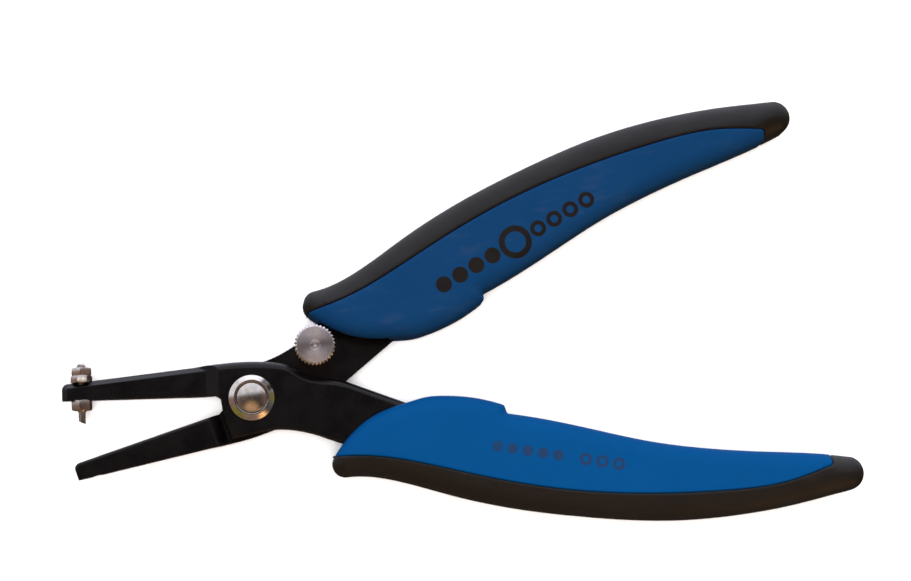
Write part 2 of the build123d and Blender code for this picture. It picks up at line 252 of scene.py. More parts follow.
def turned(name, profile, segments=96, shape=None, matrix=None):
    """A solid of revolution about Z, from an outline of (radius, height) points.

    The outline runs anticlockwise, and starts on the axis or closes on itself.
    shape(radius, height, angle) may move a point, for a knurl, a thread or a hexagon.
    """
    verts, rings = [], []
    for r, z in profile:
        if r == 0:
            rings.append([len(verts)] * segments)
            verts.append((0, 0, z))
            continue
        rings.append(list(range(len(verts), len(verts) + segments)))
        for k in range(segments):
            angle = 2 * pi * k / segments
            radius, height = shape(r, z, angle) if shape else (r, z)
            verts.append((radius * cos(angle), radius * sin(angle), height))
    pairs = list(zip(rings, rings[1:]))
    if profile[0][0] != 0:
        pairs.append((rings[-1], rings[0]))
    faces = []
    for low, high in pairs:
        for k in range(segments):
            j = (k + 1) % segments
            faces.append(tuple(dict.fromkeys((low[k], low[j], high[j], high[k]))))
    return new_object(name, verts, [f for f in faces if len(f) > 2], matrix)


def hexagon(name, across_flats, height, bore, turn, matrix=None, lift=0.0):
    """A hexagon with both ends chamfered to a circle, standing at a height in its frame."""
    corner = across_flats / 2 / cos(radians(30))
    circle = corner * 0.86  # the end faces' radius, inside the chamfer
    step = 2 * pi / 6

    def shape(r, z, angle):
        if r < corner:
            return r, z
        flat = across_flats / 2 / cos((angle - turn) % step - step / 2)
        rise = (flat - circle) * tan(radians(30))
        return flat, lift + (rise if z < lift + height / 2 else height - rise)

    top = lift + height
    outline = [(circle, lift), (corner, lift), (corner, top), (circle, top)]
    if bore:
        sink = 0.12 * bore
        outline += [(bore / 2 + sink, top), (bore / 2, top - sink)]
        outline += [(bore / 2, lift + sink), (bore / 2 + sink, lift)]
    else:
        outline = [(0, lift)] + outline + [(0, top)]
    return turned(name, outline, 96, shape, matrix)


def thread(pitch, depth, low, high):
    """A shape for turned(): a thread cut between two heights."""

    def shape(r, z, angle):
        phase = (z / pitch - angle / (2 * pi)) % 1
        # a V with a narrow flat at its crest and at its root, fading out at both ends
        groove = min(max(1.3 * abs(2 * phase - 1) - 0.15, 0), 1)
        runout = min(max(min(z - low, high - z) / (0.5 * pitch), 0), 1)
        return r - depth * groove * runout, z

    return shape


# ------------------------------------------------------------------ materials


def material(name):
    """A new material, its node tree and its shader."""
    mat = bpy.data.materials.new(name)
    mat.use_nodes = True
    return mat, mat.node_tree, mat.node_tree.nodes["Principled BSDF"]


def node(tree, kind, **inputs):
    """A new node with the given input values."""
    made = tree.nodes.new(kind)
    for key, value in inputs.items():
        made.inputs[key.replace("_", " ")].default_value = value
    return made


def noise(tree, where, scale, detail=4, roughness=0.55):
    """Fractal noise. The scale is in cells to the metre."""
    made = node(tree, "ShaderNodeTexNoise", Scale=scale, Detail=detail, Roughness=roughness)
    tree.links.new(where, made.inputs["Vector"])
    return made.outputs["Fac"]


def spread(tree, value, low, high, out_low, out_high):
    """Maps a value's range to another range, held at its ends."""
    made = tree.nodes.new("ShaderNodeMapRange")
    made.clamp = True
    for key, number in zip(
        ("From Min", "From Max", "To Min", "To Max"), (low, high, out_low, out_high)
    ):
        made.inputs[key].default_value = number
    tree.links.new(value, made.inputs["Value"])
    return made.outputs["Result"]


def mixed(tree, factor, colour_a, colour_b):
    """From colour a to colour b as the factor goes from 0 to 1. Either may be a socket."""
    made = tree.nodes.new("ShaderNodeMix")
    made.data_type = "RGBA"
    tree.links.new(factor, made.inputs[0])
    for socket, colour in ((6, colour_a), (7, colour_b)):
        if isinstance(colour, tuple):
            made.inputs[socket].default_value = (*colour, 1)
        else:
            tree.links.new(colour, made.inputs[socket])
    return made.outputs[2]


def bumped(tree, shader, height, strength, distance_mm, before=None):
    """Bumps the shader's normal, on top of the normal that comes before."""
    made = node(tree, "ShaderNodeBump", Strength=strength, Distance=distance_mm * MM)
    tree.links.new(height, made.inputs["Height"])
    if before is not None:
        tree.links.new(before, made.inputs["Normal"])
    tree.links.new(made.outputs["Normal"], shader.inputs["Normal"])
    return made.outputs["Normal"]


def coordinates(tree, stretch=(1, 1, 1)):
    """The piece's own coordinates in metres, stretched."""
    where = tree.nodes.new("ShaderNodeTexCoord")
    mapping = tree.nodes.new("ShaderNodeMapping")
    mapping.inputs["Scale"].default_value = stretch
    tree.links.new(where.outputs["Object"], mapping.inputs["Vector"])
    return mapping.outputs["Vector"]


def axis_distance(tree, where):
    """How far a point is from the piece's own Z axis, as a vector for a texture."""
    parts = tree.nodes.new("ShaderNodeSeparateXYZ")
    tree.links.new(where, parts.inputs[0])
    flat = tree.nodes.new("ShaderNodeCombineXYZ")
    tree.links.new(parts.outputs["X"], flat.inputs["X"])
    tree.links.new(parts.outputs["Y"], flat.inputs["Y"])
    radius = tree.nodes.new("ShaderNodeVectorMath")
    radius.operation = "LENGTH"
    tree.links.new(flat.outputs[0], radius.inputs[0])
    ring = tree.nodes.new("ShaderNodeCombineXYZ")
    tree.links.new(radius.outputs["Value"], ring.inputs["X"])
    return ring.outputs[0]


def soft_normal(tree, radius_mm):
    """The normal as if each edge were rounded."""
    bevel = tree.nodes.new("ShaderNodeBevel")
    bevel.samples = 6
    bevel.inputs["Radius"].default_value = radius_mm * MM
    return bevel.outputs["Normal"]


def edge_mask(tree, soft, low, high):
    """1 along edges and 0 on flats, from how far the rounded normal leans."""
    geometry = tree.nodes.new("ShaderNodeNewGeometry")
    dot = tree.nodes.new("ShaderNodeVectorMath")
    dot.operation = "DOT_PRODUCT"
    tree.links.new(soft, dot.inputs[0])
    tree.links.new(geometry.outputs["Normal"], dot.inputs[1])
    return spread(tree, dot.outputs["Value"], high, low, 0, 1)


def multiplied(tree, a, b):
    """The product of two values."""
    made = tree.nodes.new("ShaderNodeMath")
    made.operation = "MULTIPLY"
    tree.links.new(a, made.inputs[0])
    tree.links.new(b, made.inputs[1])
    return made.outputs[0]


def black_steel():
    """Forged steel, blackened: satin, faintly cloudy, with worn edges."""
    mat, tree, shader = material("black_steel")
    here = coordinates(tree)
    cloud = noise(tree, here, 220)
    grain = noise(tree, here, 3200, detail=3)
    drawn = noise(tree, coordinates(tree, (0.12, 1.6, 1.0)), 5200, detail=2)
    soft = soft_normal(tree, 0.22)
    broken = spread(tree, noise(tree, here, 900), 0.42, 0.62, 0.15, 0.8)
    worn = multiplied(tree, edge_mask(tree, soft, 0.86, 0.985), broken)
    clouds = spread(tree, cloud, 0.35, 0.65, 0, 1)
    base = mixed(tree, clouds, (0.0010, 0.0007, 0.0009), (0.0024, 0.0017, 0.0020))
    tone = mixed(tree, worn, base, (0.030, 0.028, 0.032))
    tree.links.new(tone, shader.inputs["Base Color"])
    tree.links.new(spread(tree, cloud, 0.3, 0.7, 0.24, 0.32), shader.inputs["Roughness"])
    shader.inputs["Specular IOR Level"].default_value = 0.38
    grained = bumped(tree, shader, grain, 0.20, 0.010, before=soft)
    bumped(tree, shader, drawn, 0.10, 0.006, before=grained)
    return mat


def plated(name, colour, dark, rough, edge=0.05):
    """Plated or ground steel, with haze, fine pits and faint scratches."""
    mat, tree, shader = material(name)
    here = coordinates(tree)
    haze = noise(tree, here, 900, detail=5)
    pits = noise(tree, here, 7000, detail=2)
    rings = noise(tree, axis_distance(tree, here), 9000, detail=2)
    shader.inputs["Metallic"].default_value = 1.0
    tone = mixed(tree, spread(tree, haze, 0.35, 0.7, 0, 1), colour, dark)
    tree.links.new(tone, shader.inputs["Base Color"])
    tree.links.new(spread(tree, haze, 0.3, 0.75, rough, rough * 1.8), shader.inputs["Roughness"])
    pitted = bumped(tree, shader, pits, 0.22, 0.012, before=soft_normal(tree, edge))
    bumped(tree, shader, rings, 0.10, 0.010, before=pitted)
    return mat


def turned_steel():
    """Plated steel straight off the lathe: fine rings about the piece's own Z axis."""
    mat, tree, shader = material("turned_steel")
    here = coordinates(tree)
    ring = axis_distance(tree, here)
    rings = noise(tree, ring, 7000, detail=3)
    wide = noise(tree, ring, 1500, detail=2)
    haze = noise(tree, here, 700, detail=4)
    shader.inputs["Metallic"].default_value = 1.0
    shader.inputs["Anisotropic"].default_value = 0.8
    shader.inputs["Anisotropic Rotation"].default_value = 0.25
    tangent = tree.nodes.new("ShaderNodeTangent")
    tangent.direction_type = "RADIAL"
    tangent.axis = "Z"
    tree.links.new(tangent.outputs["Tangent"], shader.inputs["Tangent"])
    tone = mixed(tree, spread(tree, haze, 0.35, 0.65, 0, 1), (0.78, 0.72, 0.73), (0.64, 0.58, 0.59))
    tree.links.new(tone, shader.inputs["Base Color"])
    tree.links.new(spread(tree, wide, 0.3, 0.7, 0.30, 0.42), shader.inputs["Roughness"])
    fine = bumped(tree, shader, rings, 0.20, 0.010)
    bumped(tree, shader, wide, 0.20, 0.030, before=fine)
    return mat


def moulded(name, colour, dark, rough, spec, grain_scale, grain_depth, scuffed=None):
    """A moulded grip material: fine mould texture, slight blotches and rubbed patches."""
    mat, tree, shader = material(name)
    here = coordinates(tree)
    blotch = noise(tree, here, 60, detail=3)
    grain = noise(tree, here, grain_scale, detail=4, roughness=0.6)
    rub = noise(tree, coordinates(tree, (1, 2.2, 1)), 160, detail=5)
    tone = mixed(tree, spread(tree, blotch, 0.3, 0.7, 0, 1), colour, dark)
    if scuffed:
        streaks = noise(tree, coordinates(tree, (0.5, 1.6, 1)), 210, detail=7, roughness=0.65)
        tone = mixed(tree, spread(tree, streaks, 0.56, 0.74, 0, 0.8), tone, scuffed)
    tree.links.new(tone, shader.inputs["Base Color"])
    rubbed = spread(tree, rub, 0.3, 0.7, rough - 0.06, rough + 0.07)
    tree.links.new(rubbed, shader.inputs["Roughness"])
    shader.inputs["Specular IOR Level"].default_value = spec
    grained = bumped(tree, shader, grain, 0.30, grain_depth)
    bumped(tree, shader, rub, 0.15, 0.05, before=grained)
    return mat


BLACK_STEEL = black_steel()
NICKEL = plated("nickel_plate", (0.74, 0.69, 0.64), (0.58, 0.52, 0.47), 0.16)
TURNED = turned_steel()
TOOL_STEEL = plated("tool_steel", (0.55, 0.49, 0.43), (0.40, 0.35, 0.30), 0.20)
BLUE = moulded(
    "blue_grip",
    colour=(0.0, 0.071, 0.240),
    dark=(0.0, 0.066, 0.225),
    rough=0.5,
    spec=0.05,
    grain_scale=2600,
    grain_depth=0.020,
)
# The upper grip's blue has real rubbed streaks. Its base colour is also a little greyer and less
# blue than the lower grip's: painted sheen and painted shade, for how the light falls on the upper
# grip.
RUBBED_BLUE_PAINTED_SHEEN_SHADE = moulded(
    "rubbed_blue_grip_painted_sheen_shade",
    colour=(0.008, 0.071, 0.218),
    dark=(0.006, 0.066, 0.205),
    rough=0.5,
    spec=0.05,
    grain_scale=2600,
    grain_depth=0.020,
    scuffed=(0.030, 0.088, 0.225),
)
RUBBER = moulded(
    "black_grip",
    colour=(0.0074, 0.0056, 0.0048),
    dark=(0.0056, 0.0043, 0.0038),
    rough=0.5,
    spec=0.46,
    grain_scale=3400,
    grain_depth=0.030,
    scuffed=(0.0125, 0.0105, 0.0100),
)
INK = moulded(
    "printed_ink",
    colour=(0.010, 0.0075, 0.007),
    dark=(0.014, 0.011, 0.010),
    rough=0.42,
    spec=0.3,
    grain_scale=4200,
    grain_depth=0.010,
)
FAINT_INK = moulded(
    "worn_ink",
    colour=(0.016, 0.038, 0.105),
    dark=(0.008, 0.046, 0.135),
    rough=0.5,
    spec=0.1,
    grain_scale=4200,
    grain_depth=0.010,
)


def finish_piece(obj, mat, body, slot, *nodes):
    """Gives a piece its material and its body, and hides the CAD nodes it stands for. The slot is
    not used.
    """
    obj.data.materials.clear()
    obj.data.materials.append(mat)
    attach(obj, body)
    if nodes:
        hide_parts(*nodes)


# ------------------------------------------------------------------ grips
# The outline's stretches: the mouth where the lever goes in, the nose, the belly, the tip,
# and back over the inner side with its finger step. The parting line divides blue from
# black. The pocket is the hollow in the mouth round the lever's shank.
GRIP_HALF = 6.3  # half the grips' thickness
MOUTH_POINTS = [(33.3, -2.0), (28, -3.7), (24, -5.9), (21, -8.5), (18.15, -11.9), (17.0, -14.6)]
BELLY_POINTS = [(20.3, -17.35), (30, -18.3), (42.5, -22.0), (56, -25.3), (72.8, -27.8)]
BELLY_POINTS += [(89.5, -29.05), (106.3, -28.2), (120, -26.0), (129, -24.0)]
BACK_POINTS = [(129.5, -16.8), (121.8, -15.85), (109.6, -15.0), (97.5, -13.9), (85.4, -12.0)]
BACK_POINTS += [(73.5, -9.1), (62, -6.35), (55.1, -5.1)]
NOSE = arc(MOUTH_POINTS[-1], (17.95, -16.65), BELLY_POINTS[0])
TIP = arc(BELLY_POINTS[-1], (132.0, -20.7), BACK_POINTS[0])
FRONT_POINTS = [(53.9, -3.1), (47.5, -1.4), (41, -0.8), (37.2, -1.0), (33.3, -2.0)]
PARTING_POINTS = [(10, -13.2), (27.9, -13.8), (36.6, -15.5), (49.5, -18.7), (66.8, -22.0)]
PARTING_POINTS += [(84.2, -23.4), (101.6, -23.3), (114.7, -21.8), (124.2, -18.65)]
POCKET = [(14, 4), (32, -2.2), (36.8, -4.2), (25, -12.3), (14, -9.6)]
POCKET_LOW, POCKET_HIGH = -3.3, 3.4

# how far in from its outline each side of the grip is rounded, and how far that drops
BLUE_ROUND, BLUE_DROP = 3.4, 2.45
RUBBER_ROUND, RUBBER_DROP = 5.6, 3.3
CROWN, CROWN_REACH = 0.16, 9.0  # the flanks' slight fall, and how far in it is felt
SEAM_WIDTH, SEAM_DEPTH = 0.32, 0.38  # the groove along the parting line
# the mesh's rows, as distances in from the outline and from the seam
RINGS = (0.04, 0.16, 0.36, 0.64, 1.0, 1.45, 2.0, 2.7, 3.6, 4.7)
SEAM_RINGS = (0.08, 0.18, 0.34, 0.6)
SEAM_STEP = 0.6  # about the mesh's spacing along the seam
GRID_X, GRID_Y = 1.7, 1.5  # and across the flanks, inside the rows
GRID_GAP = 0.6  # between the last row and the grid
WALL_ROWS = 5  # faces between the front and the back of the rim
PULL_SOFTENING = 0.8  # keeps the pull of an outline finite on the outline itself


def grip_outline():
    """The grip's outline, anticlockwise."""
    mouth = spline(MOUTH_POINTS, (-1, -0.25), NOSE[1] - NOSE[0])
    belly = spline(BELLY_POINTS, NOSE[-1] - NOSE[-2], (1, 0.2))
    back = spline(BACK_POINTS, (-1, 0.15), (-1, 0.15))
    half_way = np.mean([BACK_POINTS[-1], FRONT_POINTS[0]], axis=0)
    step = spline([BACK_POINTS[-1], half_way, FRONT_POINTS[0]], (-1, 0.15), (-1, 0.35), 0.2)
    front = spline(FRONT_POINTS, (-1, 0.35), (-1, -0.25))
    outline = np.concatenate([s[:-1] for s in (mouth, NOSE, belly, TIP, back, step, front)])
    closed = np.vstack([outline[-1:], outline, outline[:1]])
    return outline + normals_in(closed)[1:-1] * SIZE_MARGIN


def parting_line():
    """The line between the blue body and the black spine, with a cap across the tip."""
    line = spline(PARTING_POINTS, (1, 0), (1, 0.38), step=0.3)
    corner = arc(PARTING_POINTS[-1], (124.85, -18.1), (124.8, -17.3), step=0.15)
    cap = np.linspace(corner[-1], (124.3, -14), 8)
    return np.concatenate([line[:-1], corner[:-1], cap])


def crossings(outline, line):
    """Where a line crosses an outline: the edge's number and the point, in the edge's order."""
    found = []
    n = len(outline)
    for i in range(n):
        a, b = outline[i], outline[(i + 1) % n]
        for c, d in zip(line[:-1], line[1:]):
            m = np.array([b - a, c - d]).T
            if abs(np.linalg.det(m)) < 1e-12:
                continue
            s, t = np.linalg.solve(m, c - a)
            if 0 <= s < 1 and 0 <= t < 1:
                found.append((i, a + s * (b - a)))
    return found


def grip_regions():
    """The outline, its outer and its inner stretch, and the seam from nose to tip."""
    outline = grip_outline()
    line = parting_line()
    (i, nose_end), (j, tip_end) = crossings(outline, line)
    outer = np.vstack([nose_end, outline[i + 1 : j + 1], tip_end])
    inner = np.vstack([tip_end, outline[j + 1 :], outline[: i + 1], nose_end])
    start = np.argmin(np.linalg.norm(line - nose_end, axis=1))
    stop = np.argmin(np.linalg.norm(line - tip_end, axis=1))
    middle = np.vstack([nose_end, line[start + 1 : stop], tip_end])
    ends = np.array((0,) + RINGS)
    total = length(middle)
    first, last = RINGS[-1] + SEAM_STEP, total - RINGS[-1] - SEAM_STEP
    even = np.linspace(first, last, round(total / SEAM_STEP))
    seam = along(middle, np.concatenate([ends, even, total - ends[::-1]]))
    return np.vstack([outline, outline[:1]]), outer, inner, seam


OUTLINE, OUTER, INNER, SEAM = grip_regions()


def pull(points, line):
    """How strongly a stretch of outline is felt at each point, falling with distance."""
    middle = (line[:-1] + line[1:]) / 2
    width = np.linalg.norm(np.diff(line, axis=0), axis=1)
    gap2 = ((points[:, None] - middle) ** 2).sum(2) + PULL_SOFTENING
    return (width / gap2**2.5).sum(1)


def grip_height(points):
    """Half the grip's thickness over each point."""
    exact = distance(points, OUTLINE)
    outer, inner = pull(points, OUTER), pull(points, INNER)
    # a long straight edge at a distance d pulls with about 4 / 3 / d**4
    blurred = (4 / 3 / (outer + inner)) ** 0.25
    # the true distance near the edge, the blurred one further in
    near = smoothstep((exact - 0.5) / 1.6)
    depth = exact * (1 - near) + np.minimum(exact, blurred) * near
    spine = outer / (outer + inner)
    reach = BLUE_ROUND + (RUBBER_ROUND - BLUE_ROUND) * spine
    drop = BLUE_DROP + (RUBBER_DROP - BLUE_DROP) * spine
    u = np.clip(1 - depth / reach, 0, 1)
    crown = CROWN * np.clip(1 - depth / CROWN_REACH, 0, 1) ** 2
    return GRIP_HALF - drop * (1 - np.sqrt(1 - u * u)) - crown


def grip_points(stretch, seam, loop):
    """Points inside one material's share of a grip: rows along its edges, and a grid."""
    rows = []
    beyond = np.vstack([2 * stretch[0] - stretch[1], stretch, 2 * stretch[-1] - stretch[-2]])
    facing = normals_in(beyond)[1:-1]
    for gap in RINGS:
        row = stretch + facing * gap
        # where a row would fold back, or crowd the seam, its points are left out
        clear = (distance(row, OUTLINE) > 0.93 * gap) & (distance(row, seam) > 0.3)
        rows.append(row[clear])
    facing = normals_in(seam)
    for gap in SEAM_RINGS:
        row = (seam + facing * gap)[1:-1]
        rows.append(row[distance(row, OUTLINE) > 0.03])
    low, high = loop.min(0), loop.max(0)
    grid = np.array(
        [
            (x, y)
            for k, y in enumerate(np.arange(low[1], high[1], GRID_Y))
            for x in np.arange(low[0] + GRID_X / 2 * (k % 2), high[0], GRID_X)
        ]
    )
    off_rows = distance(grid, OUTLINE) > RINGS[-1] + GRID_GAP
    off_seam = distance(grid, seam) > SEAM_RINGS[-1] + GRID_GAP
    rows.append(grid[off_rows & off_seam])
    points = np.vstack(rows)
    return points[inside(points, loop)]


def grip_piece(name, stretch, seam, matrix):
    """One material's share of a grip: two crowned faces, the rounded rim and the seam side."""
    loop = np.vstack([stretch[:-1], seam[:-1]])
    n = len(loop)
    flat = np.vstack([loop, grip_points(stretch, seam, loop)])
    result = delaunay_2d_cdt([Vector(p) for p in flat], [], [list(range(n))], 1, 1e-5)
    points = np.array([tuple(v) for v in result[0]])
    triangles = result[2]
    made_from = {given: k for k, sources in enumerate(result[3]) for given in sources}
    rim = [made_from[k] for k in range(n)]
    height = grip_height(points)
    count = len(points)
    verts = [(*p, h) for p, h in zip(points, height)] + [(*p, -h) for p, h in zip(points, height)]
    faces = [tuple(t) for t in triangles]
    faces += [tuple(count + k for k in reversed(t)) for t in triangles]
    rows = [rim]
    for r in range(1, WALL_ROWS):
        first = len(verts)
        share = 1 - 2 * r / WALL_ROWS
        verts += [(*points[k], height[k] * share) for k in rim]
        rows.append(list(range(first, first + n)))
    rows.append([count + k for k in rim])
    seam_faces = []  # the side along the seam, which sunk_at() takes no normals from
    for upper, lower in zip(rows, rows[1:]):
        for k in range(n):
            j = (k + 1) % n
            face = (upper[j], upper[k], lower[k], lower[j])
            (faces if k < len(stretch) - 1 else seam_faces).append(face)
    return new_object(name, sunk_at(seam, verts, faces), faces + seam_faces, matrix)


def sunk_at(seam, verts, faces):
    """The points, pressed in along the seam's two lips to leave a fine groove."""
    shell = bpy.data.meshes.new("shell")
    shell.from_pydata(verts, [], faces)
    shell.update()
    top = max(shell.vertices, key=lambda v: v.co.z)
    sign = 1 if top.normal.z > 0 else -1
    gap = distance(np.array([v[:2] for v in verts]), seam)
    sink = SEAM_DEPTH * np.clip(1 - gap / SEAM_WIDTH, 0, 1) ** 2
    moved = [
        tuple(Vector(v) - vertex.normal * (sign * float(s)))
        for v, vertex, s in zip(verts, shell.vertices, sink)
    ]
    bpy.data.meshes.remove(shell)
    return moved


def closed_outwards(obj):
    """Makes every face of a closed mesh look outwards."""
    work = bmesh.new()
    work.from_mesh(obj.data)
    bmesh.ops.remove_doubles(work, verts=work.verts, dist=2e-7)
    bmesh.ops.recalc_face_normals(work, faces=work.faces)
    work.to_mesh(obj.data)
    work.free()


def make_grips():
    """Both grips from one shape. The upper one has rubbed patches, and a blue with painted sheen
    and painted shade in its colour.
    """
    for grip, side, blue in (("lower", "punch", BLUE), ("upper", "die", RUBBED_BLUE_PAINTED_SHEEN_SHADE)):
        matrix = lever_matrix(side)
        for part, stretch, seam, mat, slot in (
            ("body", INNER, SEAM, blue, "blue_grip"),
            ("spine", OUTER, SEAM[::-1], RUBBER, "black_grip"),
        ):
            piece = grip_piece(f"{grip}_{part}_moulding", stretch, seam, matrix)
            closed_outwards(piece)
            pocket = prism("pocket", POCKET, POCKET_LOW, POCKET_HIGH, matrix)
            closed_outwards(pocket)
            combine(piece, pocket, "DIFFERENCE")
            settle(piece)
            smooth(piece, 40)
            finish_piece(piece, mat, side + "_side", slot, f"{grip}_grip_{part}")


make_grips()

# ------------------------------------------------------------------ printed marks
INK_PROUD, INK_THICK = 0.015, 0.06
DOT_HOLE = 0.04  # a dot is a ring with a hole too small to see


def mark(centre, outer, inner, corners=32):
    """A printed ring of two radii: its loops of points, from the middle outwards."""
    loops = []
    for size in (inner, (inner + outer) / 2, outer):
        a = 2 * pi * np.arange(corners) / corners
        loops.append(centre + np.stack([size * np.cos(a), size * np.sin(a)], 1))
    return loops


def printed(name, marks, side, mat, slot):
    """Flat marks that follow the crown of a grip's front face."""
    front = 1 if side == "punch" else -1
    verts, faces = [], []
    for loops in marks:
        rows = []
        for lift in (INK_PROUD, INK_PROUD - INK_THICK):
            for loop in loops:
                rows.append(range(len(verts), len(verts) + len(loop)))
                height = grip_height(loop) + lift
                verts += [(*p, front * h) for p, h in zip(loop, height)]
        # across the top, down the outside, back underneath and up the hole
        order = rows[:3] + rows[:2:-1] + rows[:1]
        for a, b in zip(order, order[1:]):
            n = len(a)
            faces += [(a[k], a[(k + 1) % n], b[(k + 1) % n], b[k]) for k in range(n)]
    obj = new_object(name, verts, faces, lever_matrix(side))
    closed_outwards(obj)
    settle(obj)
    smooth(obj, 30)
    finish_piece(obj, mat, side + "_side", slot)


def row_of(side, start, end):
    """The middle and the direction of a printed row, in the lever's frame."""
    back = lever_matrix(side).inverted()
    a, b = (np.array((back @ Vector((*p, 0)))[:2]) for p in (start, end))
    return (a + b) / 2, unit(b - a)


def make_print():
    """A plain row of dots and rings on each grip."""
    middle, run = row_of("die", (43.5, 15.7), (80.4, 29.4))
    marks = [mark(middle, 3.6, 2.3, 48)]
    marks += [mark(middle + run * k, 1.75, DOT_HOLE) for k in (-18.1, -14.0, -9.9, -5.8)]
    marks += [mark(middle + run * k, 1.75, 0.85) for k in (5.8, 9.9, 14.0, 18.1)]
    printed("upper_print", marks, "die", INK, "black_grip")
    middle, run = row_of("punch", (48.9, -19.9), (76.9, -29.4))
    marks = [mark(middle + run * k, 1.35, 0.65) for k in (5.2, 8.8, 12.4)]
    marks += [mark(middle + run * k, 1.15, DOT_HOLE) for k in (-14.0, -10.7, -7.4, -4.1, -0.8)]
    printed("lower_print", marks, "punch", FAINT_INK, "blue_grip")


make_print()

# ------------------------------------------------------------------ levers

for name in ("punch_lever", "die_lever"):
    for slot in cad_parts[name].material_slots:
        slot.material = BLACK_STEEL

# ------------------------------------------------------------------ rivet and collar
DOME_RIM, DOME_RIM_Z = 3.15, 4.15
DOME_SPHERE, DOME_HALF = 8.57, 0.377  # the dome's radius, and its half angle in radians


def make_pivot():
    """The rivet's set end stands in a turned collar in front; its head is behind."""
    dome = [
        (DOME_RIM * sin(a) / sin(DOME_HALF), DOME_RIM_Z + DOME_SPHERE * (cos(a) - cos(DOME_HALF)))
        for a in np.linspace(0.36, 0.0, 12)
    ]
    dome[-1] = (0, dome[-1][1])
    back = [(0, -4.1, 0), (2.75, -4.1, 0.10), (3.6, -3.25, 0.12), (3.6, -3.06, 0)]
    front = [(2.5, -3.06, 0), (2.5, 3.76, 0), (3.13, 3.76, 0), (3.13, 4.13, 0)]
    outline = softened(back + front + [(3.05, 4.2, 0)])
    rivet = turned("rivet", outline + dome[1:], 128)
    smooth(rivet, 28)
    finish_piece(rivet, NICKEL, "die_side", "nickel_plate", "pivot_rivet")
    collar = turned(
        "collar",
        softened(
            [
                (2.52, 3.15, 0),
                (4.9, 3.15, 0.05),
                (4.9, 3.45, 0.07),
                (3.96, 4.2, 0.0),
                (3.82, 4.35, 0.10),
                (3.50, 4.35, 0.08),
                (3.38, 4.12, 0),
                (3.38, 3.75, 0),
                (2.52, 3.75, 0),
            ],
            steps=6,
        ),
        128,
    )
    smooth(collar, 28)
    finish_piece(collar, NICKEL, "die_side", "nickel_plate", "pivot_collar")


make_pivot()

# ------------------------------------------------------------------ punch and its nuts
PUNCH_X = -36.2  # along the jaw, in the punch lever's frame
JAW_FACE, SPOT_FACE = 0.8, 4.5  # where the punch leaves the jaw, and where its nut stands
COLLAR_HEIGHT, PIN_LENGTH, PIN_RADIUS = 2.1, 3.0, 0.75
PUNCH_SLANT = radians(25)
STUD_TOP, STUD_RADIUS = 8.61, 1.0
M2_ACROSS, M2_HEIGHT, NUT_GAP = 4.0, 1.6, 0.03


def punch_matrix():
    """Z runs up the punch, from the jaws' bisector; Y points to the back of the tool."""
    c, s = cos(HALF_OPEN), sin(HALF_OPEN)
    matrix = Matrix(((c, -s, 0), (0, 0, -1), (s, c, 0))).transposed().to_4x4()
    matrix.translation = Vector((c, -s, 0)) * PUNCH_X * MM
    return matrix


def make_punch():
    """The punch in one piece, its end cut at a slant, and the two nuts on its stud."""
    matrix = punch_matrix()
    base = JAW_FACE - COLLAR_HEIGHT
    end = base - PIN_LENGTH
    punch = hexagon("punch_with_stud", M2_ACROSS, COLLAR_HEIGHT, 0, radians(20), matrix, base)
    round_edges(punch, 0.06)
    outline = [(0, end), (PIN_RADIUS, end), (PIN_RADIUS, base - 0.45)]
    outline += [(1.1, base + 0.02), (1.1, base + 0.3), (0, base + 0.3)]
    combine(punch, turned("pin", outline, 64, matrix=matrix), "UNION")
    outline = [(0, JAW_FACE - 0.3), (STUD_RADIUS, JAW_FACE - 0.3)]
    outline += [(STUD_RADIUS, z) for z in np.arange(4.0, STUD_TOP - 0.28, 0.05)]
    outline += [(0.99, STUD_TOP - 0.28), (0.72, STUD_TOP), (0.36, STUD_TOP)]
    outline += [(0.33, STUD_TOP - 0.7), (0, STUD_TOP - 0.9)]
    m2_thread = thread(pitch=0.4, depth=0.2, low=4.2, high=8.45)
    stud = turned("stud", outline, 48, m2_thread, matrix)
    combine(punch, stud, "UNION")
    reach = 2
    slant = [(x, end + (PIN_RADIUS - x) * tan(PUNCH_SLANT)) for x in (-reach, reach)]
    slant += [(reach, end - 4), (-reach, end - 4)]
    cutter = new_object(
        "cutter",
        [(x, y, z) for y in (-reach, reach) for x, z in slant],
        [(0, 1, 2, 3), (7, 6, 5, 4), (0, 4, 5, 1), (1, 5, 6, 2), (2, 6, 7, 3), (3, 7, 4, 0)],
        matrix,
    )
    closed_outwards(cutter)
    combine(punch, cutter, "DIFFERENCE")
    smooth(punch, 28)
    finish_piece(punch, TOOL_STEEL, "punch_side", "tool_steel", "punch")
    lift = SPOT_FACE
    for name, turn in (("punch_lock_nut", 4), ("punch_jam_nut", 27)):
        lift += NUT_GAP
        nut = hexagon(name + "_turned", M2_ACROSS, M2_HEIGHT, 2.02, radians(turn), matrix, lift)
        lift += M2_HEIGHT
        round_edges(nut, 0.06)
        smooth(nut, 28)
        finish_piece(nut, NICKEL, "punch_side", "nickel_plate", name)


make_punch()

# ------------------------------------------------------------------ closing stop
KNURL_TEETH, KNURL_DEPTH = 32, 0.33
KNOB_RADIUS, KNOB_FACE = 4.4, 8.13
M4_ACROSS, M4_HEIGHT, PLATE_BACK = 7.0, 3.2, 3.05  # the nut stands this far behind the middle
STOP_POINT = lever_matrix("die") @ Vector((16.3, -5.9, 0))


def stop_matrix(flip=False):
    """Z runs along the stop screw, to the front or, flipped, to the back."""
    matrix = Matrix.Rotation(pi, 4, "X") if flip else Matrix.Identity(4)
    matrix.translation = STOP_POINT * MM
    return matrix


def knurl(r, z, angle):
    """A shape for turned(): V-shaped teeth round the knob's rim."""
    tooth = (angle * KNURL_TEETH / (2 * pi)) % 1
    edge = KNOB_RADIUS - KNURL_DEPTH * abs(2 * tooth - 1) ** 0.85
    return min(r, edge), z


